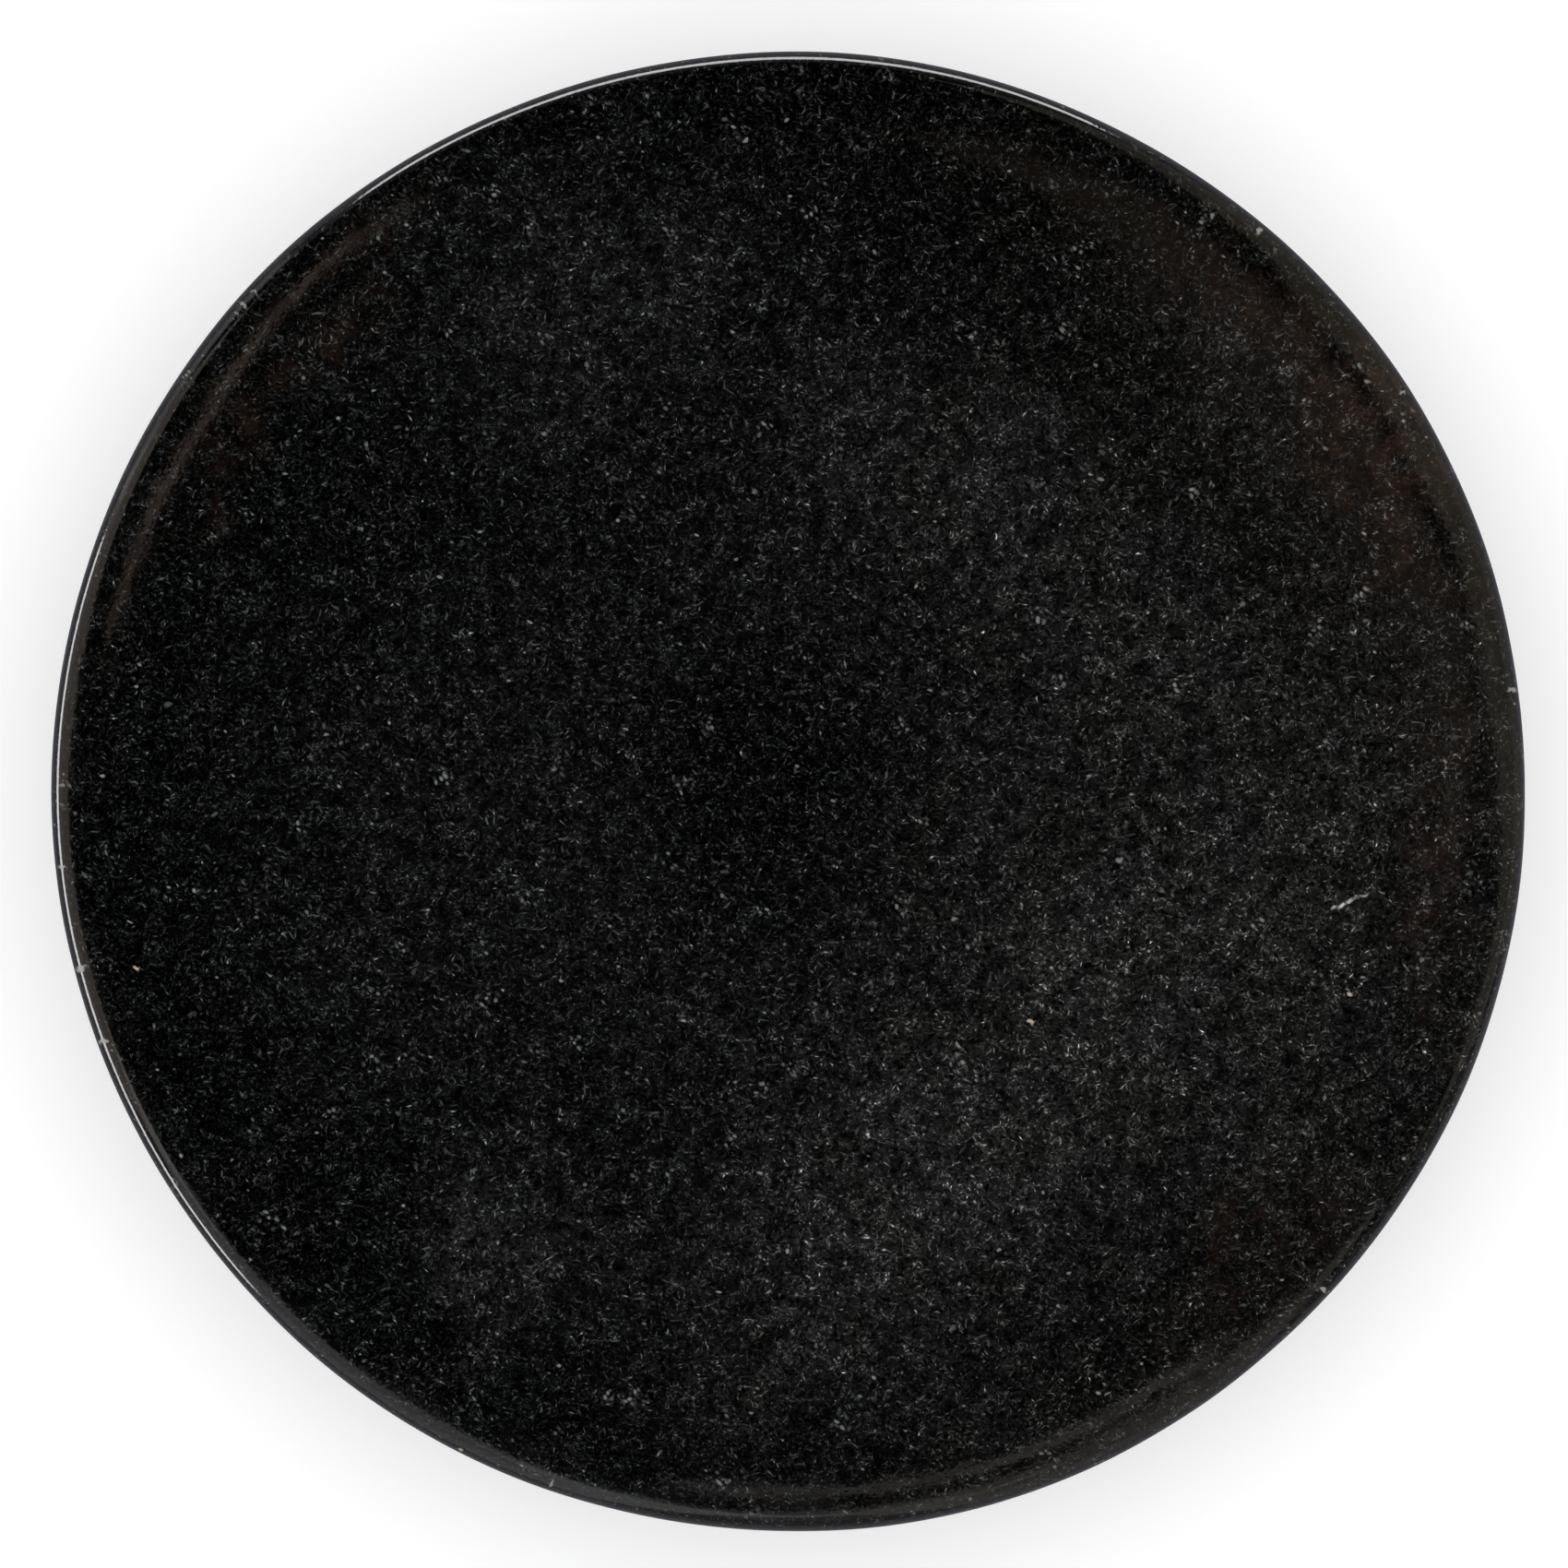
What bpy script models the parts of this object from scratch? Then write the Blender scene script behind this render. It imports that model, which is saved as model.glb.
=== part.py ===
"""Basalt massage stone, lying flat: one solid disc of rock, ground round and polished.

The upper face is a very shallow crown that rolls off a little near the rim. A tight round
joins it to an almost upright side. The underside is the same but for its middle, which is
ground flat, so the stone rests without rocking. The origin is the middle of that flat and
+Z points up through the crown. Lengths are in metres and angles in degrees.
"""
import math

import bmesh
import bpy

# Overall size
DIAMETER = 0.080
THICKNESS = 0.018

# The round between each face and the side
EDGE_ROUND = 0.0012

# Polishing rolls a face off next to that round: the width of the strip and its final tilt
SHOULDER_WIDTH = 0.004
SHOULDER_TILT = 9.0

# Tilt of the crowned upper face where the shoulder begins; the underside has none there
CROWN_TILT = 1.5

# Tilt of the side at its two ends, from upright: it swells slightly towards half its height
SIDE_SWELL = 1.0

# Hand grinding leaves the outline a little out of round: crests, their height, first crest
OUTLINE_WAVES = (
    (2, 0.00009, -85.0),
    (3, 0.00005, 43.0),
    (7, 0.00004, -20.0),
)

# Mesh fineness: steps round the stone, and along each stretch of its section
STEPS_AROUND = 96
CROWN_STEPS = 4
SHOULDER_STEPS = 4
EDGE_STEPS = 8
SIDE_STEPS = 3

# Finish: dark polished rock
STONE_COLOR = (0.009, 0.009, 0.0085, 1.0)
STONE_ROUGHNESS = 0.18

WELD_DISTANCE = 1e-7
SHARP_ANGLE = 30.0


def clear_scene():
    """Remove whatever the file opened with."""
    for leftover in list(bpy.data.objects):
        bpy.data.objects.remove(leftover, do_unlink=True)


def stone_material():
    """Dark polished basalt."""
    material = bpy.data.materials.new("basalt")
    material.use_nodes = True
    shader = material.node_tree.nodes["Principled BSDF"]
    shader.inputs["Base Color"].default_value = STONE_COLOR
    shader.inputs["Roughness"].default_value = STONE_ROUGHNESS
    shader.inputs["Metallic"].default_value = 0.0
    return material


def add_arc(points, width, start_tilt, end_tilt, steps):
    """Carry the section on by an arc of a given width, between two tilts of its surface.

    Each point is (radius, drop below the middle of the face).
    """
    start = math.radians(start_tilt)
    end = math.radians(end_tilt)
    arc_radius = width / (math.sin(end) - math.sin(start))
    first_radius, first_drop = points[-1]
    for step in range(1, steps + 1):
        tilt = start + (end - start) * step / steps
        radius = first_radius + arc_radius * (math.sin(tilt) - math.sin(start))
        drop = first_drop + arc_radius * (math.cos(start) - math.cos(tilt))
        points.append((radius, drop))


def face_section(middle_tilt):
    """Points (radius, drop) of one face from its middle to the end of the edge round."""
    side_tilt = 90.0 - SIDE_SWELL
    shoulder_sine = math.sin(math.radians(SHOULDER_TILT))
    edge_width = EDGE_ROUND * (math.sin(math.radians(side_tilt)) - shoulder_sine)
    middle_width = side_start_radius() - edge_width - SHOULDER_WIDTH

    points = [(0.0, 0.0)]
    if middle_tilt > 0:
        add_arc(points, middle_width, 0.0, middle_tilt, CROWN_STEPS)
    else:
        points = [(middle_width, 0.0)]
    add_arc(points, SHOULDER_WIDTH, middle_tilt, SHOULDER_TILT, SHOULDER_STEPS)
    add_arc(points, edge_width, SHOULDER_TILT, side_tilt, EDGE_STEPS)
    return points


def side_start_radius():
    """Radius at which the edge rounds end and the side begins, inside its swell."""
    half_height = THICKNESS / 2 - EDGE_ROUND
    return DIAMETER / 2 - half_height * math.tan(math.radians(SIDE_SWELL / 2))


def section():
    """Points (x, z) of the stone's section, from the top of the crown to the flat underneath."""
    upper = [(radius, THICKNESS - drop) for radius, drop in face_section(CROWN_TILT)]
    lower = [(radius, drop) for radius, drop in face_section(0.0)]
    top_x, top_z = upper[-1]
    bottom_z = lower[-1][1]
    half_height = (top_z - bottom_z) / 2
    swell = math.radians(SIDE_SWELL)
    side_radius = half_height / math.sin(swell)
    side = []
    for step in range(1, SIDE_STEPS * 2):
        angle = swell * (1 - step / SIDE_STEPS)
        x = top_x + side_radius * (math.cos(angle) - math.cos(swell))
        z = bottom_z + half_height + side_radius * math.sin(angle)
        side.append((x, z))
    return upper + side + lower[::-1]


def turn_section(mesh, points):
    """Spin the section round the Z axis into a closed skin with one flat face underneath."""
    corners = [mesh.verts.new((x, 0.0, z)) for x, z in points]
    edges = [mesh.edges.new(pair) for pair in zip(corners, corners[1:])]
    bmesh.ops.spin(
        mesh,
        geom=corners + edges,
        cent=(0, 0, 0),
        axis=(0, 0, 1),
        angle=math.tau,
        steps=STEPS_AROUND,
        use_merge=True,
    )
    bmesh.ops.remove_doubles(mesh, verts=mesh.verts, dist=WELD_DISTANCE)
    flat_rim = [edge for edge in mesh.edges if edge.is_boundary]
    bmesh.ops.holes_fill(mesh, edges=flat_rim, sides=STEPS_AROUND)
    bmesh.ops.recalc_face_normals(mesh, faces=mesh.faces)


def grind_out_of_round(mesh):
    """Push the outline in and out by the slow waves, which fade away towards the middle."""
    for vert in mesh.verts:
        angle = math.atan2(vert.co.y, vert.co.x)
        share = vert.co.xy.length / (DIAMETER / 2)
        swell = sum(
            height * math.cos(crests * (angle - math.radians(first)))
            for crests, height, first in OUTLINE_WAVES
        )
        stretch = 1 + swell * share / (DIAMETER / 2)
        vert.co.x *= stretch
        vert.co.y *= stretch


def build_stone():
    """The whole object: one closed, smooth-shaded solid."""
    mesh = bmesh.new()
    turn_section(mesh, section())
    grind_out_of_round(mesh)
    data = bpy.data.meshes.new("massage_stone")
    mesh.to_mesh(data)
    mesh.free()
    data.shade_smooth()
    data.set_sharp_from_angle(angle=math.radians(SHARP_ANGLE))
    data.materials.append(stone_material())
    stone = bpy.data.objects.new("massage_stone", data)
    bpy.context.scene.collection.objects.link(stone)


clear_scene()
build_stone()
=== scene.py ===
"""The looks of the basalt massage stone: its polished body, its rock and a small studio.

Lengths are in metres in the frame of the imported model, +Z up, and angles are in degrees
unless a name says otherwise. Patterns in the rock are laid out in millimetres.
"""
import logging
import math
from collections.abc import Sequence
from dataclasses import dataclass
from enum import Enum

import bmesh
import bpy
from mathutils import Euler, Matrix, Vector, noise


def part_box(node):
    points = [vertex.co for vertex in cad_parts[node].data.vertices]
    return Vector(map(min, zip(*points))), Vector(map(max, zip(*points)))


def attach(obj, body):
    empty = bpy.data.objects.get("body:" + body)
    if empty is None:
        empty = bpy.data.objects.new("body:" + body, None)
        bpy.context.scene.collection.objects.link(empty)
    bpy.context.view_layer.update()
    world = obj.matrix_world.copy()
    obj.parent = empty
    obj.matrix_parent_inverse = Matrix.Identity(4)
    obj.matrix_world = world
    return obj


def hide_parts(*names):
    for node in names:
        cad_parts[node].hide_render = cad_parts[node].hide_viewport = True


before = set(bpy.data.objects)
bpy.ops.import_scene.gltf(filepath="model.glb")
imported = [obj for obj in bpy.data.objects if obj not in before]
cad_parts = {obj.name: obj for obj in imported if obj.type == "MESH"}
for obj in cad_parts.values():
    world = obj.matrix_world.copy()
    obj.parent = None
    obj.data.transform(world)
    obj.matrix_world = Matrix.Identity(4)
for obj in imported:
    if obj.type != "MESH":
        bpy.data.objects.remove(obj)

log = logging.getLogger("stone")

NODE = "massage_stone"
BODY = "root"
MM = 0.001
WELD_DISTANCE = 1e-7
BLACK = (0.0, 0.0, 0.0)

Color = tuple[float, float, float]
Point = tuple[float, float]
Socket = bpy.types.NodeSocket
Signal = float | Socket


def direction(azimuth: float, elevation: float) -> Vector:
    """Unit vector towards a bearing, counted from +X towards +Y, and a height above level.

    Args:
        azimuth: bearing in degrees, 0 along +X and 90 along +Y.
        elevation: angle above level in degrees.

    Returns:
        The unit vector.
    """
    turn = math.radians(azimuth)
    rise = math.radians(elevation)
    level = math.cos(rise)
    return Vector((math.cos(turn) * level, math.sin(turn) * level, math.sin(rise)))


class NodeBoard:
    """Lays out and links the nodes of one material or world."""

    def __init__(self, tree: bpy.types.NodeTree) -> None:
        """Start on an existing node tree."""
        self.tree = tree

    def add(self, kind: str, **settings: object) -> bpy.types.Node:
        """Add a node.

        Args:
            kind: Blender's name for the node's type.
            settings: the node's own properties and their values.

        Returns:
            The new node.
        """
        node = self.tree.nodes.new(kind)
        for name, value in settings.items():
            setattr(node, name, value)
        return node

    def feed(self, socket: Socket, value: object) -> None:
        """Link a signal into a socket, or set the socket to a plain value."""
        if isinstance(value, Socket):
            self.tree.links.new(value, socket)
        else:
            socket.default_value = value

    def math(
        self, operation: str, first: Signal, second: Signal = 0.0, clamp: bool = False
    ) -> Socket:
        """One arithmetic step.

        Args:
            operation: the step's name, such as MULTIPLY.
            first: the first number.
            second: the second number, where the step has one.
            clamp: whether the result is held between 0 and 1.

        Returns:
            The result.
        """
        node = self.add("ShaderNodeMath", operation=operation, use_clamp=clamp)
        self.feed(node.inputs[0], first)
        self.feed(node.inputs[1], second)
        return node.outputs[0]

    def ramp(
        self, value: Signal, low: float, high: float, start: float = 0.0, end: float = 1.0
    ) -> Socket:
        """Map a range of numbers onto another with soft ends.

        Args:
            value: the number to map.
            low: the value that gives start.
            high: the value that gives end.
            start: result at low and below.
            end: result at high and above.

        Returns:
            The mapped number.
        """
        node = self.add("ShaderNodeMapRange", interpolation_type="SMOOTHSTEP")
        for name, signal in zip(("Value", "From Min", "From Max", "To Min", "To Max"),
                                (value, low, high, start, end)):
            self.feed(node.inputs[name], signal)
        return node.outputs["Result"]

    def mapped(self, vector: Socket, offset: Vector, turn: Euler, scale: Vector) -> Socket:
        """Turn, stretch and move a set of coordinates.

        Args:
            vector: the coordinates.
            offset: what is added last.
            turn: the rotation of the pattern.
            scale: repeats per millimetre along each of the pattern's own axes.

        Returns:
            The new coordinates.
        """
        turned = self.add("ShaderNodeMapping", vector_type="POINT")
        self.feed(turned.inputs["Vector"], vector)
        turned.inputs["Rotation"].default_value = turn
        stretched = self.add("ShaderNodeMapping", vector_type="POINT")
        self.feed(stretched.inputs["Vector"], turned.outputs["Vector"])
        stretched.inputs["Scale"].default_value = scale
        stretched.inputs["Location"].default_value = offset
        return stretched.outputs["Vector"]

    def noise(self, vector: Socket, scale: float, detail: float, roughness: float) -> Socket:
        """A soft random field around 0.5."""
        node = self.add("ShaderNodeTexNoise")
        self.feed(node.inputs["Vector"], vector)
        node.inputs["Scale"].default_value = scale
        node.inputs["Detail"].default_value = detail
        node.inputs["Roughness"].default_value = roughness
        return node.outputs["Fac"]

    def mix(self, factor: Signal, first: Color | Socket, second: Color | Socket) -> Socket:
        """Lay one colour over another.

        Args:
            factor: how much of the second shows.
            first: the colour below.
            second: the colour above.

        Returns:
            The mixed colour.
        """
        node = self.add("ShaderNodeMix", data_type="RGBA")
        self.feed(node.inputs["Factor"], factor)
        for name, color in (("A", first), ("B", second)):
            self.feed(node.inputs[name], color if isinstance(color, Socket) else (*color, 1.0))
        return node.outputs["Result"]


@dataclass(frozen=True)
class Span:
    """A range of numbers and the range it is mapped onto, with soft ends."""

    low: float
    high: float
    start: float = 0.0
    end: float = 1.0

    def of(self, board: NodeBoard, value: Signal) -> Socket:
        """Map a number.

        Args:
            board: the node board to draw on.
            value: the number to map.

        Returns:
            The mapped number.
        """
        return board.ramp(value, self.low, self.high, self.start, self.end)


@dataclass(frozen=True)
class Grain:
    """A soft random field around 0.5, with scale in repeats per millimetre."""

    scale: float
    detail: float
    roughness: float

    def at(self, board: NodeBoard, place: Socket) -> Socket:
        """The field's value.

        Args:
            board: the node board to draw on.
            place: coordinates in millimetres.

        Returns:
            The value here.
        """
        return board.noise(place, self.scale, self.detail, self.roughness)


@dataclass(frozen=True)
class Shake:
    """A random shift of coordinates, so what is drawn on them isn't straight or round.

    The scale is in bends per millimetre and the reach is in millimetres.
    """

    scale: float
    detail: float
    reach: float

    def of(self, board: NodeBoard, place: Socket) -> Socket:
        """Shift coordinates about.

        Args:
            board: the node board to draw on.
            place: coordinates in millimetres.

        Returns:
            The new coordinates.
        """
        bend = board.add("ShaderNodeTexNoise")
        board.feed(bend.inputs["Vector"], place)
        bend.inputs["Scale"].default_value = self.scale
        bend.inputs["Detail"].default_value = self.detail
        shift = board.add("ShaderNodeVectorMath", operation="MULTIPLY_ADD")
        board.feed(shift.inputs[0], bend.outputs["Color"])
        shift.inputs[1].default_value = (self.reach, self.reach, self.reach)
        board.feed(shift.inputs[2], place)
        back = -self.reach / 2
        centred = board.add("ShaderNodeVectorMath", operation="ADD")
        board.feed(centred.inputs[0], shift.outputs["Vector"])
        centred.inputs[1].default_value = (back, back, back)
        return centred.outputs["Vector"]


@dataclass(frozen=True)
class CrystalKind:
    """Crystals of one kind, lying along several directions; sizes are in millimetres.

    Each crystal is a small ellipsoid somewhere in the rock, and the polished surface shows a
    slice of it.
    """

    spacing: float
    length: float
    width: float
    share: float
    brightness: float
    directions: int
    first_turn: float
    lean: float
    seed: float
    seed_step: float = 7.3
    soft_edge: Point = (1.35, 0.5)

    def one_way(self, board: NodeBoard, place: Socket, number: int) -> Socket:
        """The crystals that lie along one of the directions.

        Args:
            board: the node board to draw on.
            place: coordinates in millimetres.
            number: which direction.

        Returns:
            How pale the surface is here, from 0 up.
        """
        spin = self.first_turn + 180.0 * number / self.directions
        turn = Euler((math.radians(self.lean), 0.0, math.radians(spin)))
        stretch = self.length / self.width
        across = 1 / self.spacing
        start = self.seed + self.seed_step * number
        offset = Vector((start, -start, start / 2))
        spot = board.mapped(place, offset, turn, Vector((across / stretch, across, across)))
        cells = board.add("ShaderNodeTexVoronoi", voronoi_dimensions="3D", feature="F1")
        board.feed(cells.inputs["Vector"], spot)
        cells.inputs["Scale"].default_value = 1.0
        lots = board.add("ShaderNodeSeparateColor")
        board.feed(lots.inputs["Color"], cells.outputs["Color"])
        reach = self.width / 2 / self.spacing
        outer, inner = self.soft_edge
        body = board.ramp(cells.outputs["Distance"], reach * outer, reach * inner)
        luck = board.ramp(lots.outputs["Red"], 1 - self.share, 1.0)
        return board.math("MULTIPLY", body, board.math("MULTIPLY", luck, self.brightness))

    def slices(self, board: NodeBoard, place: Socket) -> Socket:
        """All the crystals of this kind, the palest on top.

        Args:
            board: the node board to draw on.
            place: coordinates in millimetres.

        Returns:
            How pale the surface is here, from 0 up.
        """
        shade = self.one_way(board, place, 0)
        for number in range(1, self.directions):
            shade = board.math("MAXIMUM", shade, self.one_way(board, place, number))
        return shade


@dataclass(frozen=True)
class Felt:
    """The tangle of crystals too fine to tell apart, as grain drawn out along several directions.

    Its brightness is spread as widely as that of a real rock: each step in the grain multiplies
    it by the same factor.
    """

    length: float
    width: float
    detail: float
    directions: int
    lean: float
    middle: float
    contrast: float
    roughness: float = 0.6
    seed_step: float = 41.0

    def shade(self, board: NodeBoard, place: Socket, lift: Signal) -> Socket:
        """How pale the tangle is.

        Args:
            board: the node board to draw on.
            place: coordinates in millimetres.
            lift: what is added to the grain before it is spread; moves the whole tone.

        Returns:
            How pale the surface is here, from 0 up.
        """
        scale = Vector((1 / self.length, 1 / self.width, 1 / self.width))
        grain: Signal = 0.0
        for number in range(self.directions):
            spin = math.radians(180.0 * number / self.directions)
            turn = Euler((math.radians(self.lean), 0.0, spin))
            start = self.seed_step * number
            spot = board.mapped(place, Vector((start, -start, start / 2)), turn, scale)
            way = board.noise(spot, 1.0, self.detail, self.roughness)
            grain = way if number == 0 else board.math("MAXIMUM", grain, way)
        power = board.math("MULTIPLY", board.math("ADD", grain, lift), self.contrast)
        return board.math("MULTIPLY", board.math("POWER", math.e, power), self.middle)


@dataclass(frozen=True)
class Patch:
    """A soft-edged patch of the face, given in millimetres from the face's middle.

    Its depth is how far its soft edge reaches up and down, and down is how far its middle lies
    under the face.
    """

    middle: Point
    reach: Point
    turn: float
    strength: float = 1.0
    depth: float = 40.0
    down: float = 0.0

    def cover(self, board: NodeBoard, place: Socket, soft: float = 1.0) -> Socket:
        """How much of the patch is here.

        Args:
            board: the node board to draw on.
            place: coordinates in millimetres, with the face at no height.
            soft: how much of the reach is its soft edge.

        Returns:
            From 0 outside the patch to its strength in the middle.
        """
        turn = math.radians(-self.turn)
        scale = Vector((1 / self.reach[0], 1 / self.reach[1], 1 / self.depth))
        middle = Vector((*self.middle, -self.down))
        middle.rotate(Euler((0.0, 0.0, turn)))
        offset = Vector(-part * size for part, size in zip(middle, scale))
        spot = board.mapped(place, offset, Euler((0.0, 0.0, turn)), scale)
        away = board.add("ShaderNodeVectorMath", operation="LENGTH")
        board.feed(away.inputs[0], spot)
        return board.ramp(away.outputs["Value"], 1.0, 1.0 - soft, 0.0, self.strength)


@dataclass(frozen=True)
class Chip:
    """A small chip knocked out of the upper edge, lying across it; the size is in millimetres."""

    azimuth: float
    size: float
    length_share: float = 1.6
    width_share: float = 0.55
    depth_share: float = 2.5
    down: float = 1.15
    strength: float = 0.9

    def patch(self, radius: float) -> Patch:
        """Where the chip is.

        Args:
            radius: distance of the chip's middle from the stone's axis, in millimetres.

        Returns:
            The patch it covers.
        """
        turn = math.radians(self.azimuth)
        return Patch(
            middle=(radius * math.cos(turn), radius * math.sin(turn)),
            reach=(self.size * self.length_share, self.size * self.width_share),
            turn=self.azimuth,
            strength=self.strength,
            depth=self.size * self.depth_share,
            down=self.down,
        )


@dataclass(frozen=True)
class RockPlace:
    """The coordinates the rock is drawn on, in millimetres with the face at no height.

    They come plain, shaken by less than a crystal, and shaken by centimetres. The crowding is a
    field around 0.5 that says where the pale crystals crowd together.
    """

    plain: Socket
    fine: Socket
    wide: Socket
    crowding: Socket


@dataclass(frozen=True)
class BasaltColors:
    """The linear colours of the rock, of the marks on it and of the painted sheen in its cloudy
    patches.
    """

    crystal_green: Color = (0.88, 1.0, 0.955)
    crystal_warm: Color = (1.0, 0.97, 0.92)
    speck: Color = (0.44, 0.37, 0.30)
    quartz: Color = (0.66, 0.64, 0.60)
    # Pale tone between the crystals in the cloudy patches: partly powder in the rock, partly
    # painted sheen standing in for a dim reflection in the polish.
    powder_and_painted_sheen: Color = (0.0070, 0.0070, 0.0067)
    # Brown laid in patches near the rim.
    brown_near_rim: Color = (0.0135, 0.0072, 0.0050)
    chipped: Color = (0.30, 0.29, 0.27)


@dataclass(frozen=True)
class BasaltGrain:
    """The rock's crystals, from the finest tangle to the single bright ones."""

    crowding: Grain = Grain(1.0, 2.0, 0.6)
    felt: Felt = Felt(
        length=0.44, width=0.155, detail=1.0, directions=4, lean=25.0,
        middle=0.00168, contrast=20.5,
    )
    felt_lift: Span = Span(0.3, 0.7, -0.635, -0.575)
    # How far the cloudy patches lift the tangle's tone: partly the rock's own paleness, partly
    # painted sheen.
    cloud_and_sheen_lift: float = 0.045
    laths: CrystalKind = CrystalKind(
        spacing=0.46, length=0.54, width=0.125, share=0.55, brightness=0.045,
        directions=4, first_turn=0.0, lean=20.0, seed=31.7,
    )
    lath_crowding: Span = Span(0.32, 0.68, 0.5, 1.5)
    sparks: CrystalKind = CrystalKind(
        spacing=0.90, length=0.24, width=0.16, share=0.70, brightness=0.20,
        directions=1, first_turn=20.0, lean=10.0, seed=77.9,
    )
    gathered: CrystalKind = CrystalKind(
        spacing=0.27, length=0.30, width=0.20, share=0.85, brightness=0.17,
        directions=1, first_turn=50.0, lean=10.0, seed=12.9,
    )
    nests_per_mm: float = 0.32
    nest_edge: Span = Span(0.25, 0.10)

    def shade(self, board: NodeBoard, place: RockPlace, cloud_and_sheen: Socket) -> Socket:
        """How pale the crystals are, with the tangle lifted in the cloudy patches, partly by
        painted sheen.

        Args:
            board: the node board to draw on.
            place: the coordinates.
            cloud_and_sheen: how much of the pale cloudy patches is here, partly rock powder and
                partly painted sheen.

        Returns:
            How pale the surface is here, from 0 up.
        """
        lift = board.math(
            "ADD",
            self.felt_lift.of(board, place.crowding),
            board.math("MULTIPLY", cloud_and_sheen, self.cloud_and_sheen_lift),
        )
        felt = self.felt.shade(board, place.fine, lift)
        crowd = self.lath_crowding.of(board, place.crowding)
        laths = board.math("MULTIPLY", self.laths.slices(board, place.fine), crowd)
        sparks = self.sparks.slices(board, place.fine)
        nests = board.add("ShaderNodeTexVoronoi", voronoi_dimensions="3D", feature="F1")
        board.feed(nests.inputs["Vector"], place.fine)
        nests.inputs["Scale"].default_value = self.nests_per_mm
        nest = self.nest_edge.of(board, nests.outputs["Distance"])
        gathered = board.math("MULTIPLY", self.gathered.slices(board, place.fine), nest)
        tangle = board.math("ADD", felt, laths)
        return board.math("MAXIMUM", tangle, board.math("MAXIMUM", sparks, gathered))


@dataclass(frozen=True)
class BasaltMarks:
    """What lies in and on the rock besides its grain: cloudy patches of pale powder and painted
    sheen, brown patches near the rim, specks, a vein and chips.
    """

    # Cloudy patches, listed by place, size, turn and strength: partly pale powder in the rock,
    # partly painted sheen standing in for dim reflections in the polish.
    cloud_and_sheen_patches: tuple[Patch, ...] = (
        Patch((17.5, -8.5), (11.0, 6.0), 28.0, 0.68),
        Patch((9.0, -20.0), (19.0, 11.0), 24.0, 0.82),
        Patch((18.0, 9.0), (11.0, 7.0), -50.0, 0.35),
        Patch((8.0, 18.0), (13.0, 8.0), -15.0, 0.6),
        Patch((25.0, 23.0), (11.0, 6.0), -42.0, 0.4),
        Patch((-15.5, -25.0), (8.0, 8.0), 60.0, 0.7),
        Patch((30.0, -6.0), (18.0, 30.0), 0.0, 0.5),
        Patch((-12.0, 27.0), (18.0, 11.0), 20.0, 0.5),
        Patch((-22.0, -2.0), (16.0, 26.0), 0.0, 0.15),
        Patch((2.0, -31.0), (22.0, 11.0), 0.0, 0.35),
        Patch((10.0, -4.0), (46.0, 46.0), 0.0, 0.6),
        Patch((0.0, 0.0), (14.0, 14.0), 0.0, -0.5),
    )
    cloud_and_sheen_breaks: Span = Span(0.25, 0.7, 0.35, 1.25)
    powder: Grain = Grain(4.2, 1.0, 0.6)
    powder_depth: Span = Span(0.32, 0.68, 0.1, 1.5)
    # Brown patches lying along the rim, listed by place, size, turn and strength.
    brown_patches_near_rim: tuple[Patch, ...] = (
        Patch((32.0, 17.5), (4.0, 10.0), 28.0, 0.85),
        Patch((26.5, 25.5), (3.5, 9.0), 45.0, 0.45),
        Patch((35.5, -4.0), (3.2, 13.0), 0.0, 0.5),
        Patch((-27.5, 22.5), (2.6, 12.0), -38.0, 0.6),
        Patch((24.5, -24.5), (3.5, 12.0), -45.0, 0.35),
    )
    blotches: Grain = Grain(0.8, 3.0, 0.7)
    blotch_depth: Span = Span(0.38, 0.66, 0.1, 1.3)
    specks: CrystalKind = CrystalKind(
        spacing=3.2, length=0.36, width=0.24, share=0.70, brightness=1.0,
        directions=1, first_turn=30.0, lean=0.0, seed=5.3,
    )
    speck_shake: Shake = Shake(3.0, 1.0, 0.3)
    vein: Patch = Patch((30.1, -5.95), (1.75, 0.16), 23.0, 0.9, 1.5)
    vein_soft: float = 0.9
    vein_shake: Shake = Shake(1.6, 3.0, 0.5)
    vein_grain: Grain = Grain(2.6, 2.0, 0.6)
    vein_breaks: Span = Span(0.42, 0.62, 0.08, 1.0)
    chips: tuple[Chip, ...] = (
        Chip(8.0, 0.30), Chip(33.0, 0.22), Chip(50.0, 0.28), Chip(137.0, 0.22), Chip(138.3, 0.28),
        Chip(139.1, 0.16), Chip(186.0, 0.25), Chip(194.0, 0.35), Chip(200.0, 0.30),
        Chip(251.0, 0.22), Chip(317.0, 0.25),
    )
    chip_soft: float = 0.8
    chip_shake: Shake = Shake(3.0, 3.0, 0.6)

    def together(self, board: NodeBoard, place: Socket, patches: Sequence[Patch]) -> Socket:
        """Several soft patches laid over one another.

        Args:
            board: the node board to draw on.
            place: coordinates in millimetres.
            patches: the patches.

        Returns:
            The sum of what they cover here.
        """
        cover = patches[0].cover(board, place)
        for patch in patches[1:]:
            cover = board.math("ADD", cover, patch.cover(board, place))
        return cover

    def cloud_and_sheen(self, board: NodeBoard, place: RockPlace) -> Socket:
        """How much of the pale cloudy patches is here: partly pale powder in the rock, partly
        painted sheen standing in for dim reflections in the polish.
        """
        cover = self.together(board, place.wide, self.cloud_and_sheen_patches)
        return board.math("MULTIPLY", cover, self.cloud_and_sheen_breaks.of(board, place.crowding))

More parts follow.
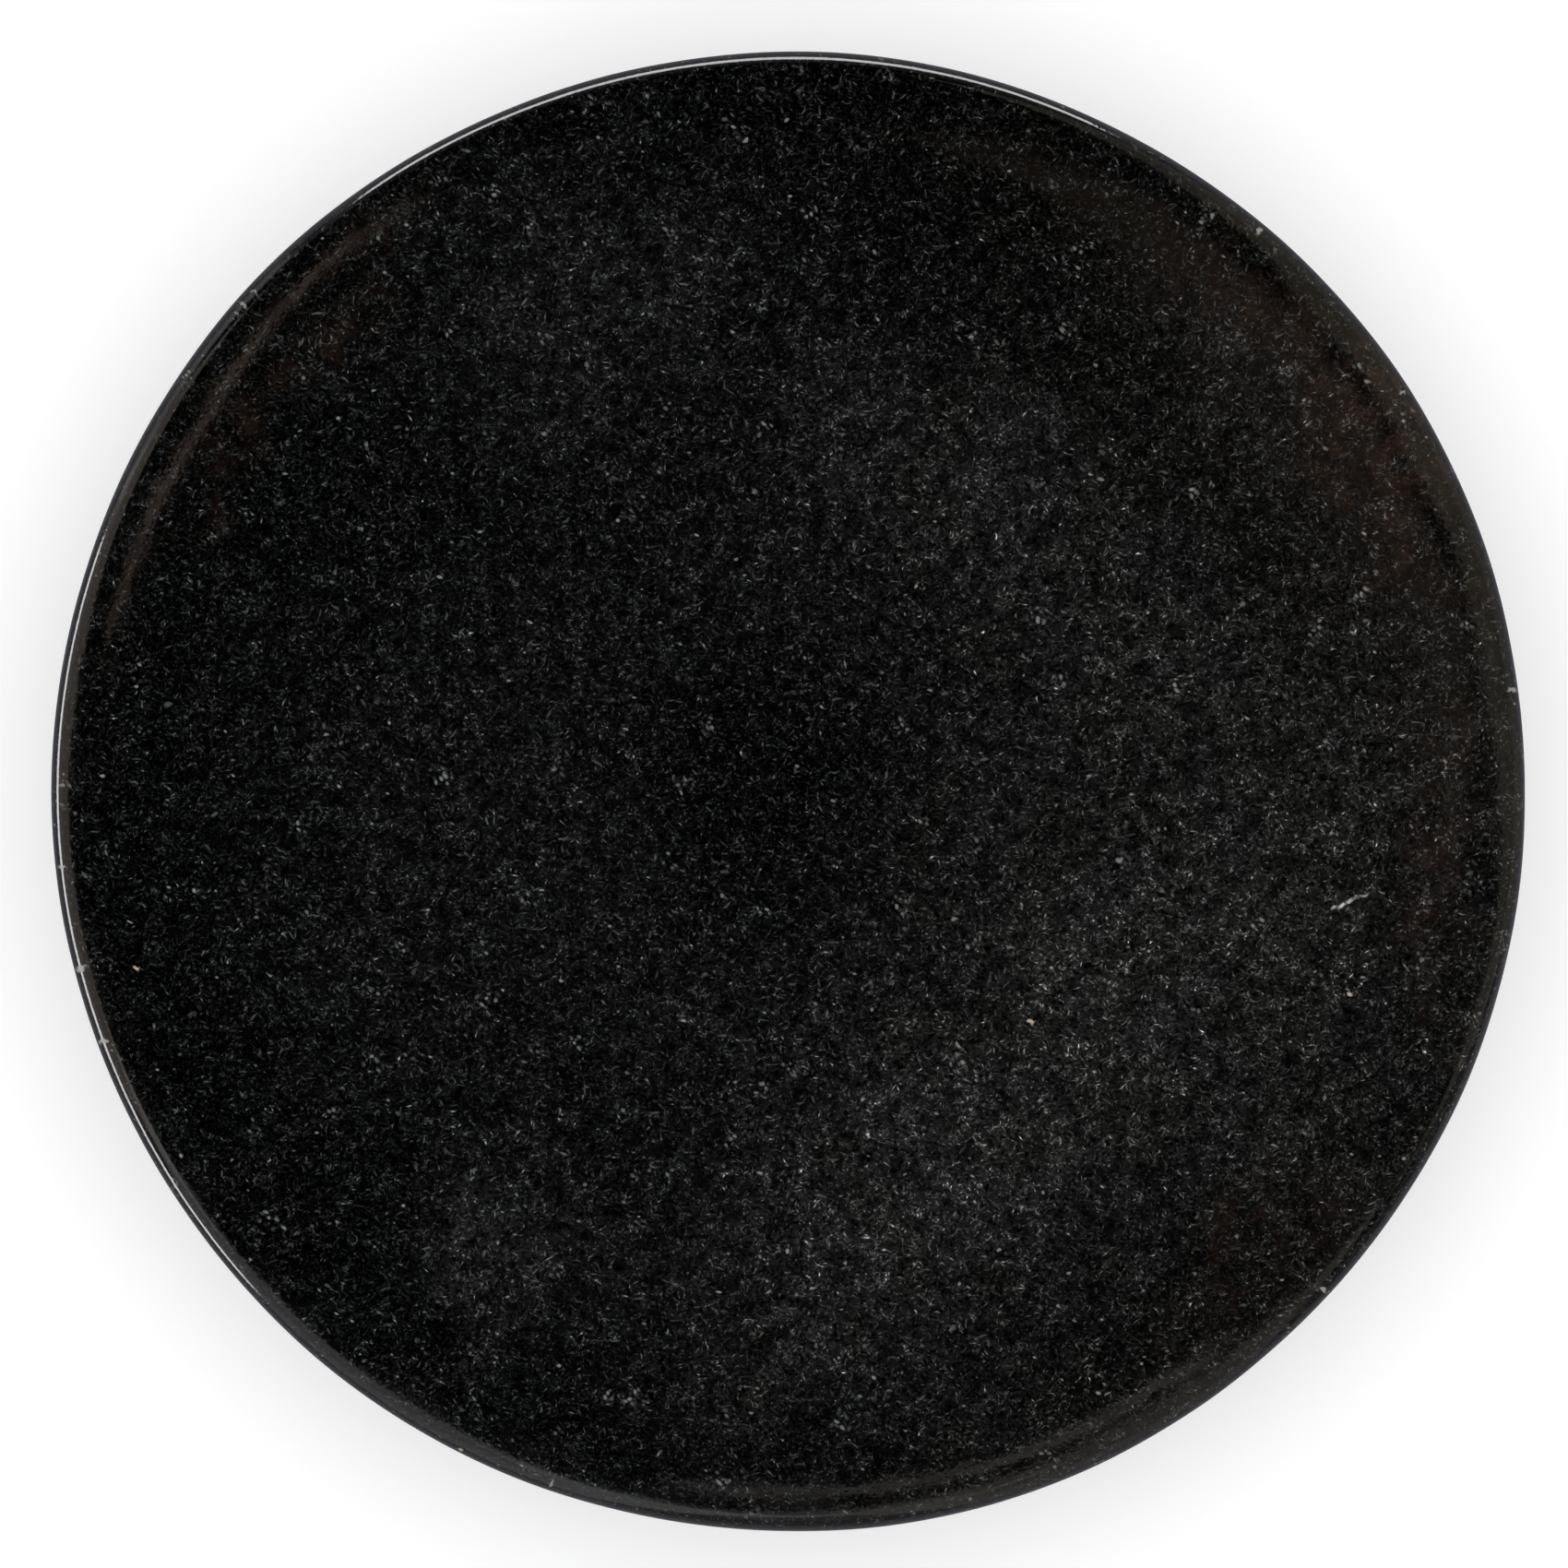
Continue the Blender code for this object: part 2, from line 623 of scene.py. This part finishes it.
    def ground(
        self, board: NodeBoard, place: RockPlace, cloud_and_sheen: Socket, colors: BasaltColors
    ) -> Socket:
        """The colour between the crystals: black, with pale powder and painted sheen in the cloudy
        patches, and brown patches near the rim.

        Args:
            board: the node board to draw on.
            place: the coordinates.
            cloud_and_sheen: how much of the pale cloudy patches is here, partly rock powder and
                partly painted sheen.
            colors: the rock's colours.

        Returns:
            The colour.
        """
        powder = self.powder_depth.of(board, self.powder.at(board, place.fine))
        # Painted sheen and powder: the cloudy patches lift the black between the crystals towards
        # a pale tone.
        ground = board.mix(board.math("MULTIPLY", cloud_and_sheen, powder), BLACK, colors.powder_and_painted_sheen)
        # Brown patches near the rim, broken up by blotches.
        brown_near_rim = self.together(board, place.wide, self.brown_patches_near_rim)
        blotch = self.blotch_depth.of(board, self.blotches.at(board, place.fine))
        return board.mix(board.math("MULTIPLY", brown_near_rim, blotch, True), ground, colors.brown_near_rim)

    def chipping(self, board: NodeBoard, place: RockPlace, radius: float) -> Socket:
        """How much of the upper edge is chipped away.

        Args:
            board: the node board to draw on.
            place: the coordinates.
            radius: distance of the chips from the stone's axis, in millimetres.

        Returns:
            From 0 to 1.
        """
        shaken = self.chip_shake.of(board, place.plain)
        cover: Signal = 0.0
        for chip in self.chips:
            here = chip.patch(radius).cover(board, shaken, self.chip_soft)
            cover = board.math("ADD", cover, here, True)
        return cover

    def over(
        self,
        board: NodeBoard,
        place: RockPlace,
        color: Socket,
        chips: Socket,
        colors: BasaltColors,
    ) -> Socket:
        """Lay the specks, the vein and the chips over the rock.

        Args:
            board: the node board to draw on.
            place: the coordinates.
            color: the rock's own colour.
            chips: how much is chipped away.
            colors: the rock's colours.

        Returns:
            The colour with the marks.
        """
        specks = self.specks.slices(board, self.speck_shake.of(board, place.plain))
        color = board.mix(board.math("MINIMUM", specks, 1.0), color, colors.speck)
        vein = self.vein.cover(board, self.vein_shake.of(board, place.plain), self.vein_soft)
        breaks = self.vein_breaks.of(board, self.vein_grain.at(board, place.plain))
        color = board.mix(board.math("MULTIPLY", vein, breaks), color, colors.quartz)
        return board.mix(chips, color, colors.chipped)


@dataclass(frozen=True)
class BasaltPolish:
    """How smooth the rock is: its gloss and the low relief left in it, heights in millimetres."""

    ior: float = 1.58
    smear: Grain = Grain(0.35, 4.0, 0.6)
    smear_shake: Shake = Shake(0.2, 2.0, 4.0)
    roughness: Span = Span(0.3, 0.7, 0.055, 0.115)
    crystal_roughness: float = 0.8
    chip_roughness: float = 0.5
    swell: Grain = Grain(0.6, 1.0, 0.5)
    swell_height: float = 0.010
    ripple: Grain = Grain(5.0, 0.0, 0.5)
    ripple_height: float = 0.0022
    pits: CrystalKind = CrystalKind(
        spacing=2.6, length=0.30, width=0.22, share=0.50, brightness=1.0,
        directions=1, first_turn=0.0, lean=0.0, seed=9.1,
    )
    pit_depth: float = 0.03

    def gloss(self, board: NodeBoard, place: RockPlace, pale: Socket, chips: Socket) -> Socket:
        """How rough the surface is.

        Args:
            board: the node board to draw on.
            place: the coordinates.
            pale: how pale the crystals are here, as they take less polish.
            chips: how much is chipped away.

        Returns:
            The roughness.
        """
        smear = self.smear.at(board, self.smear_shake.of(board, place.plain))
        gloss = self.roughness.of(board, smear)
        gloss = board.math("ADD", gloss, board.math("MULTIPLY", pale, self.crystal_roughness))
        return board.math("ADD", gloss, board.math("MULTIPLY", chips, self.chip_roughness))

    def relief(self, board: NodeBoard, place: RockPlace) -> Socket:
        """The surface's normal, with the slow swell, the fine ripple and the pits.

        Args:
            board: the node board to draw on.
            place: the coordinates.

        Returns:
            The normal.
        """
        swell = board.math("MULTIPLY", self.swell.at(board, place.plain), self.swell_height)
        ripple = board.math("MULTIPLY", self.ripple.at(board, place.plain), self.ripple_height)
        pits = board.math("MULTIPLY", self.pits.slices(board, place.plain), self.pit_depth)
        height = board.math("SUBTRACT", board.math("ADD", swell, ripple), pits)
        bump = board.add("ShaderNodeBump")
        bump.inputs["Strength"].default_value = 1.0
        bump.inputs["Distance"].default_value = MM
        board.feed(bump.inputs["Height"], height)
        return bump.outputs["Normal"]


@dataclass(frozen=True)
class BasaltFinish:
    """Fine-grained black basalt, ground and polished to a gloss.

    The top is the height of the face in metres. The chips' distance from the axis and the
    warmth's span across the face are in millimetres.
    """

    top: float
    chip_radius: float
    colors: BasaltColors = BasaltColors()
    grain: BasaltGrain = BasaltGrain()
    marks: BasaltMarks = BasaltMarks()
    polish: BasaltPolish = BasaltPolish()
    fine_shake: Shake = Shake(1.3, 1.0, 0.5)
    wide_shake: Shake = Shake(0.16, 4.0, 14.0)
    warmth_across: Span = Span(-34.0, 40.0, 0.0, 0.75)
    warmth_field: Grain = Grain(0.2, 2.0, 0.5)
    warmth_drift: Span = Span(0.3, 0.7, -0.25, 0.4)

    def place(self, board: NodeBoard) -> RockPlace:
        """Set out the coordinates the rock is drawn on."""
        coordinates = board.add("ShaderNodeTexCoord")
        lowered = Vector((0.0, 0.0, -self.top / MM))
        in_mm = Vector((1, 1, 1)) / MM
        plain = board.mapped(coordinates.outputs["Object"], lowered, Euler(), in_mm)
        return RockPlace(
            plain=plain,
            fine=self.fine_shake.of(board, plain),
            wide=self.wide_shake.of(board, plain),
            crowding=self.grain.crowding.at(board, plain),
        )

    def crystal_color(self, board: NodeBoard, place: RockPlace) -> Socket:
        """The crystals' tint, which goes from green to warm across the face.

        Args:
            board: the node board to draw on.
            place: the coordinates.

        Returns:
            The colour.
        """
        across = board.add("ShaderNodeSeparateXYZ")
        board.feed(across.inputs["Vector"], place.wide)
        side = self.warmth_across.of(board, across.outputs["X"])
        drift = self.warmth_drift.of(board, self.warmth_field.at(board, place.plain))
        warmth = board.math("ADD", side, drift, True)
        return board.mix(warmth, self.colors.crystal_green, self.colors.crystal_warm)

    def material(self) -> bpy.types.Material:
        """Build the rock's material.

        Returns:
            The material.
        """
        rock = bpy.data.materials.new("polished_basalt")
        rock.use_nodes = True
        board = NodeBoard(rock.node_tree)
        shader = rock.node_tree.nodes["Principled BSDF"]
        place = self.place(board)
        # Cloudy patches: partly pale powder in the rock, partly painted sheen.
        cloud_and_sheen = self.marks.cloud_and_sheen(board, place)
        pale = self.grain.shade(board, place, cloud_and_sheen)
        chips = self.marks.chipping(board, place, self.chip_radius)
        ground = self.marks.ground(board, place, cloud_and_sheen, self.colors)
        color = board.mix(pale, ground, self.crystal_color(board, place))
        color = self.marks.over(board, place, color, chips, self.colors)
        board.feed(shader.inputs["Base Color"], color)
        board.feed(shader.inputs["Roughness"], self.polish.gloss(board, place, pale, chips))
        board.feed(shader.inputs["Normal"], self.polish.relief(board, place))
        shader.inputs["IOR"].default_value = self.polish.ior
        return rock


@dataclass(frozen=True)
class Disc:
    """Where a round face lies on the painted sheet: its middle and its width."""

    x: float
    y: float
    size: float


@dataclass(frozen=True)
class Strip:
    """Where a quarter of the side lies on the painted sheet: a corner, and which way it runs."""

    x: float
    y: float
    upright: bool


@dataclass(frozen=True)
class Wave:
    """A slow wave of the outline: its crests round the stone, its height, its first crest."""

    crests: int
    height: float
    first: float


@dataclass
class MassageStone:
    """The one piece of rock, turned from its section and worked over by hand.

    Widths, heights and periods are in metres, and tilts and the side's swell in degrees.
    """

    low: Vector
    high: Vector
    edge_round: float = 0.0012
    shoulder_width: float = 0.004
    shoulder_tilt: float = 9.0
    crown_tilt: float = 1.5
    side_swell: float = 1.0
    outline_waves: tuple[Wave, ...] = (
        Wave(2, 0.00009, -85.0), Wave(3, 0.00005, 43.0), Wave(7, 0.00004, -20.0),
    )
    steps_around: int = 512
    crown_steps: int = 36
    flat_steps: int = 24
    shoulder_steps: int = 14
    edge_steps: int = 18
    side_steps: int = 9
    rim_period: float = 0.006
    rim_height: float = 0.00003
    face_period: float = 0.018
    face_height: float = 0.00003
    top_disc: Disc = Disc(0.335, 0.665, 0.66)
    under_disc: Disc = Disc(0.70, 0.16, 0.31)
    disc_margin: float = 1.01
    steepest_face: float = 45.0
    strip_length: float = 0.52
    strips: tuple[Strip, ...] = (
        Strip(0.005, 0.005, False), Strip(0.005, 0.17, False),
        Strip(0.68, 0.35, True), Strip(0.84, 0.35, True),
    )

    @property
    def radius(self) -> float:
        """Mean radius of the outline."""
        size = self.high - self.low
        return (size.x + size.y) / 4

    @property
    def thickness(self) -> float:
        """Height of the stone as it lies."""
        return self.high.z - self.low.z

    def arc(self, points: list[Point], width: float, start: float, end: float, steps: int) -> None:
        """Carry a section on by an arc between two tilts of its surface.

        Args:
            points: (radius, drop) points so far, which the arc is added to.
            width: how much further out the arc ends.
            start: tilt where it starts, in degrees.
            end: tilt where it ends, in degrees.
            steps: number of points to add.
        """
        first = math.radians(start)
        last = math.radians(end)
        bend = width / (math.sin(last) - math.sin(first))
        radius, drop = points[-1]
        for step in range(1, steps + 1):
            tilt = first + (last - first) * step / steps
            out = bend * (math.sin(tilt) - math.sin(first))
            down = bend * (math.cos(first) - math.cos(tilt))
            points.append((radius + out, drop + down))

    def face_section(self, middle_tilt: float) -> list[Point]:
        """One face from its middle to the end of its edge round.

        Args:
            middle_tilt: tilt of the face where the shoulder begins; none on a flat face.

        Returns:
            Points (radius, drop below the middle).
        """
        side_tilt = 90.0 - self.side_swell
        half_side = self.thickness / 2 - self.edge_round
        swell = half_side * math.tan(math.radians(self.side_swell / 2))
        spread = math.sin(math.radians(side_tilt)) - math.sin(math.radians(self.shoulder_tilt))
        edge_width = self.edge_round * spread
        middle_width = self.radius - swell - edge_width - self.shoulder_width
        points = [(0.0, 0.0)]
        if middle_tilt > 0:
            self.arc(points, middle_width, 0.0, middle_tilt, self.crown_steps)
        else:
            count = self.flat_steps
            points += [(middle_width * step / count, 0.0) for step in range(1, count + 1)]
        self.arc(points, self.shoulder_width, middle_tilt, self.shoulder_tilt, self.shoulder_steps)
        self.arc(points, edge_width, self.shoulder_tilt, side_tilt, self.edge_steps)
        return points

    def section(self) -> list[Point]:
        """The whole section from the crown's middle to the middle of the flat underneath.

        Returns:
            Points (x, z).
        """
        crown = self.face_section(self.crown_tilt)
        flat = self.face_section(0.0)
        upper = [(radius, self.high.z - drop) for radius, drop in crown]
        lower = [(radius, self.low.z + drop) for radius, drop in flat]
        top_x, top_z = upper[-1]
        bottom_z = lower[-1][1]
        half_height = (top_z - bottom_z) / 2
        swell = math.radians(self.side_swell)
        bend = half_height / math.sin(swell)
        side = []
        for step in range(1, self.side_steps * 2):
            angle = swell * (1 - step / self.side_steps)
            out = bend * (math.cos(angle) - math.cos(swell))
            side.append((top_x + out, bottom_z + half_height + bend * math.sin(angle)))
        return upper + side + lower[::-1]

    def build(self) -> bpy.types.Object:
        """Turn, work over and fit the stone's skin.

        Returns:
            The stone.
        """
        skin = bmesh.new()
        corners = [skin.verts.new((x, 0.0, z)) for x, z in self.section()]
        edges = [skin.edges.new(pair) for pair in zip(corners, corners[1:])]
        bmesh.ops.spin(
            skin, geom=corners + edges, cent=(0, 0, 0), axis=(0, 0, 1), angle=math.tau,
            steps=self.steps_around, use_merge=True,
        )
        bmesh.ops.remove_doubles(skin, verts=skin.verts, dist=WELD_DISTANCE)
        bmesh.ops.recalc_face_normals(skin, faces=skin.faces)
        self.grind_out_of_round(skin)
        self.work_by_hand(skin)
        self.fit_to_frame(skin)
        self.lay_out_for_painting(skin)
        mesh = bpy.data.meshes.new("stone_body")
        skin.to_mesh(mesh)
        skin.free()
        mesh.shade_smooth()
        stone = bpy.data.objects.new("stone_body", mesh)
        bpy.context.scene.collection.objects.link(stone)
        return stone

    def grind_out_of_round(self, skin: bmesh.types.BMesh) -> None:
        """Push the outline in and out by the slow waves, which fade away towards the middle."""
        for vert in skin.verts:
            angle = math.atan2(vert.co.y, vert.co.x)
            share = vert.co.xy.length / self.radius
            swell = sum(
                wave.height * math.cos(wave.crests * (angle - math.radians(wave.first)))
                for wave in self.outline_waves
            )
            stretch = 1 + swell * share / self.radius
            vert.co.x *= stretch
            vert.co.y *= stretch

    def work_by_hand(self, skin: bmesh.types.BMesh) -> None:
        """Leave the slow unevenness of hand polishing on everything but the flat underneath."""
        skin.normal_update()
        shoulder_start = self.radius - self.edge_round - self.shoulder_width
        for vert in skin.verts:
            lift = min((vert.co.z - self.low.z) / self.edge_round, 1.0)
            past_start = (vert.co.xy.length - shoulder_start) / self.shoulder_width
            rim_share = min(max(past_start, 0.0), 1.0)
            rim_wave = noise.noise(vert.co / self.rim_period) * self.rim_height
            face_wave = noise.noise(vert.co / self.face_period) * self.face_height
            wave = rim_share * rim_wave + (1 - rim_share) * face_wave
            vert.co += vert.normal * (wave * lift)

    def fit_to_frame(self, skin: bmesh.types.BMesh) -> None:
        """Stretch the skin by a hair, so its box is the frame's."""
        for axis in range(3):
            least = min(vert.co[axis] for vert in skin.verts)
            most = max(vert.co[axis] for vert in skin.verts)
            stretch = (self.high[axis] - self.low[axis]) / (most - least)
            for vert in skin.verts:
                vert.co[axis] = self.low[axis] + (vert.co[axis] - least) * stretch

    def lay_out_for_painting(self, skin: bmesh.types.BMesh) -> None:
        """Lay the two faces out as discs and the side as four straight strips."""
        sheet = skin.loops.layers.uv.new("OFBake")
        quarter = math.tau / len(self.strips)
        least_upright = math.cos(math.radians(self.steepest_face))
        for face in skin.faces:
            tilt = face.normal.z
            if abs(tilt) > least_upright:
                disc = self.top_disc if tilt > 0 else self.under_disc
                scale = disc.size / (self.radius * 2 * self.disc_margin)
                for loop in face.loops:
                    spot = loop.vert.co
                    loop[sheet].uv = (disc.x + spot.x * scale, disc.y + spot.y * scale)
                continue
            middle = face.calc_center_median()
            number = int((math.atan2(middle.y, middle.x) % math.tau) / quarter)
            strip = self.strips[number]
            strip_middle = quarter * (number + 0.5)
            for loop in face.loops:
                spot = loop.vert.co
                turn = math.atan2(spot.y, spot.x) - strip_middle
                turn = (turn + math.pi) % math.tau - math.pi
                along = (turn / quarter + 0.5) * self.strip_length
                across = (spot.z - self.low.z) * self.strip_length / (self.radius * quarter)
                x, y = (across, along) if strip.upright else (along, across)
                loop[sheet].uv = (strip.x + x, strip.y + y)

    def dress(self, stone: bpy.types.Object) -> None:
        """Give the stone its rock and tie it to the frame."""
        middle_of_edge = self.radius - self.edge_round / 2
        finish = BasaltFinish(top=self.high.z, chip_radius=middle_of_edge / MM)
        stone.data.materials.append(finish.material())
        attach(stone, BODY)
        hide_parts(NODE)


class LightRole(Enum):
    """What a lamp is for."""

    ROOM = "lights the rock and the floor, and isn't mirrored in the polish"
    MIRRORED = "is only seen mirrored in the polish"

    def limit(self, holder: bpy.types.Object) -> None:
        """Keep a lamp to its role."""
        if self is LightRole.ROOM:
            holder.visible_glossy = False
        else:
            holder.visible_camera = False
            holder.visible_diffuse = False
        log.info("lamp %s %s", holder.name, self.value)


@dataclass(frozen=True)
class Card:
    """A flat glowing card that faces the stone."""

    name: str
    azimuth: float
    elevation: float
    width: float
    height: float
    radiance: float
    color: Color = (1.0, 1.0, 1.0)
    distance: float = 1.0

    def hang(self, target: Vector) -> bpy.types.Object:
        """Hang the card and turn it to the stone.

        Args:
            target: the point it faces.

        Returns:
            The card's lamp.
        """
        lamp = bpy.data.lights.new(self.name, "AREA")
        lamp.shape = "RECTANGLE"
        lamp.size = self.width
        lamp.size_y = self.height
        lamp.energy = self.radiance * math.pi * self.width * self.height
        lamp.color = self.color
        holder = bpy.data.objects.new(self.name, lamp)
        away = direction(self.azimuth, self.elevation)
        holder.location = target + away * self.distance
        holder.rotation_euler = away.to_track_quat("Z", "Y").to_euler()
        LightRole.MIRRORED.limit(holder)
        bpy.context.scene.collection.objects.link(holder)
        return holder


@dataclass(frozen=True)
class Sky:
    """The soft overhead light, as wide as a ceiling of cloth."""

    name: str
    strength: float
    spread: float

    def hang(self) -> bpy.types.Object:
        """Hang the light.

        Returns:
            The light.
        """
        lamp = bpy.data.lights.new(self.name, "SUN")
        lamp.energy = self.strength
        lamp.angle = math.radians(self.spread)
        holder = bpy.data.objects.new(self.name, lamp)
        holder.location = (0.0, 0.0, 1.0)
        LightRole.ROOM.limit(holder)
        bpy.context.scene.collection.objects.link(holder)
        return holder


@dataclass
class Studio:
    """A white floor and surround, soft lamps and the camera straight above.

    The camera sees the floor and the surround white. The polish mirrors a dim floor and a dark
    room with a faint glow at the horizon, so the stone stays black.
    """

    centre: Vector
    floor_radius: float = 2.5
    floor_sides: int = 96
    floor_color: Color = (0.97, 0.97, 0.97)
    floor_glow: float = 0.16
    mirrored_floor: Color = (0.29, 0.28, 0.32)
    surround: Color = (1.0, 1.0, 1.0)
    horizon_glow: Color = (0.12, 0.12, 0.125)
    glow_fade: Span = Span(0.46, 0.66, 1.0, 0.0)
    paper_roughness: float = 0.9
    sky: Sky = Sky("cloth_ceiling", 3.3, 130.0)
    cards: tuple[Card, ...] = ()
    lens: float = 150.0
    framed_width: float = 0.08459
    lens_offset: Point = (-0.000286, 0.0004)

    def lay_floor(self) -> bpy.types.Object:
        """Lay the floor.

        Returns:
            The floor.
        """
        disc = bmesh.new()
        bmesh.ops.create_circle(
            disc, cap_ends=True, segments=self.floor_sides, radius=self.floor_radius
        )
        mesh = bpy.data.meshes.new("studio_floor")
        disc.to_mesh(mesh)
        disc.free()
        paper = bpy.data.materials.new("pale_paper")
        paper.use_nodes = True
        shader = paper.node_tree.nodes["Principled BSDF"]
        board = NodeBoard(paper.node_tree)
        ray = board.add("ShaderNodeLightPath")
        color = board.mix(ray.outputs["Is Glossy Ray"], self.floor_color, self.mirrored_floor)
        board.feed(shader.inputs["Base Color"], color)
        glow = board.math("MULTIPLY", ray.outputs["Is Camera Ray"], self.floor_glow)
        board.feed(shader.inputs["Emission Strength"], glow)
        shader.inputs["Roughness"].default_value = self.paper_roughness
        shader.inputs["Specular IOR Level"].default_value = 0.0
        mesh.materials.append(paper)
        floor = bpy.data.objects.new("studio_floor", mesh)
        bpy.context.scene.collection.objects.link(floor)
        return floor

    def light(self) -> None:
        """Hang the lamps and set the surround."""
        self.sky.hang()
        for card in self.cards:
            card.hang(self.centre)
        world = bpy.data.worlds.new("studio_surround")
        world.use_nodes = True
        board = NodeBoard(world.node_tree)
        ray = board.add("ShaderNodeLightPath")
        coordinates = board.add("ShaderNodeTexCoord")
        height = board.add("ShaderNodeSeparateXYZ")
        board.feed(height.inputs["Vector"], coordinates.outputs["Generated"])
        glow = self.glow_fade.of(board, height.outputs["Z"])
        room = board.mix(glow, BLACK, self.horizon_glow)
        color = board.mix(ray.outputs["Is Camera Ray"], room, self.surround)
        board.feed(world.node_tree.nodes["Background"].inputs["Color"], color)
        bpy.context.scene.world = world

    def set_camera(self, top: float) -> bpy.types.Object:
        """Hang the camera straight above the stone.

        Args:
            top: height of the plane that framed_width is measured in.

        Returns:
            The camera.
        """
        camera = bpy.data.cameras.new("studio_camera")
        camera.lens = self.lens
        camera.dof.use_dof = False
        distance = self.framed_width * self.lens / camera.sensor_width
        holder = bpy.data.objects.new("studio_camera", camera)
        holder.location = (*self.lens_offset, top + distance)
        bpy.context.scene.collection.objects.link(holder)
        bpy.context.scene.camera = holder
        return holder


CARDS = (
    Card("far_window", 95.0, 7.5, 1.15, 0.26, 8.0),
    Card("left_window", 191.0, 4.5, 1.20, 0.26, 9.0),
    Card("left_screen", 178.0, 32.0, 0.95, 1.2, 0.58, (1.0, 0.87, 0.76)),
    Card("left_low_screen", 145.0, 14.0, 0.42, 0.48, 0.6),
    Card("right_screen", 22.0, 34.0, 1.5, 1.33, 0.28, (1.0, 0.87, 0.68)),
    Card("right_warm_cloth", 35.0, 75.5, 0.34, 0.17, 0.10, (1.0, 0.74, 0.56)),
    Card("near_left_screen", 236.0, 32.0, 0.8, 1.25, 0.56),
    Card("near_low_screen", 268.0, 13.0, 0.5, 0.46, 0.08, (0.92, 0.94, 1.0)),
    Card("near_screen", 268.0, 46.0, 0.45, 0.62, 0.24, (0.94, 0.95, 1.0)),
    Card("near_right_screen", 297.0, 33.0, 0.55, 1.3, 0.34, (1.0, 0.91, 0.83)),
    Card("left_strip", 146.0, 69.5, 0.27, 0.03, 0.6, (1.0, 0.74, 0.60)),
    Card("near_strip", 285.0, 69.0, 0.30, 0.035, 0.45, (1.0, 0.9, 0.86)),
)


def main() -> None:
    """Build the stone and the studio round it, and log the stone's faces and the floor's width."""
    logging.basicConfig(level=logging.INFO, format="%(name)s: %(message)s")
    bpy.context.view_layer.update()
    low, high = (Vector(corner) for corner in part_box(NODE))

    maker = MassageStone(low, high)
    stone = maker.build()
    maker.dress(stone)
    log.info("%s: %d faces", stone.name, len(stone.data.polygons))

    studio = Studio(centre=(low + high) / 2, cards=CARDS)
    floor = studio.lay_floor()
    log.info("%s: %.1f m across", floor.name, studio.floor_radius * 2)
    studio.light()
    studio.set_camera(high.z - maker.edge_round)

    view = bpy.context.scene.view_settings
    view.view_transform = "Standard"


if __name__ == "__main__":
    main()
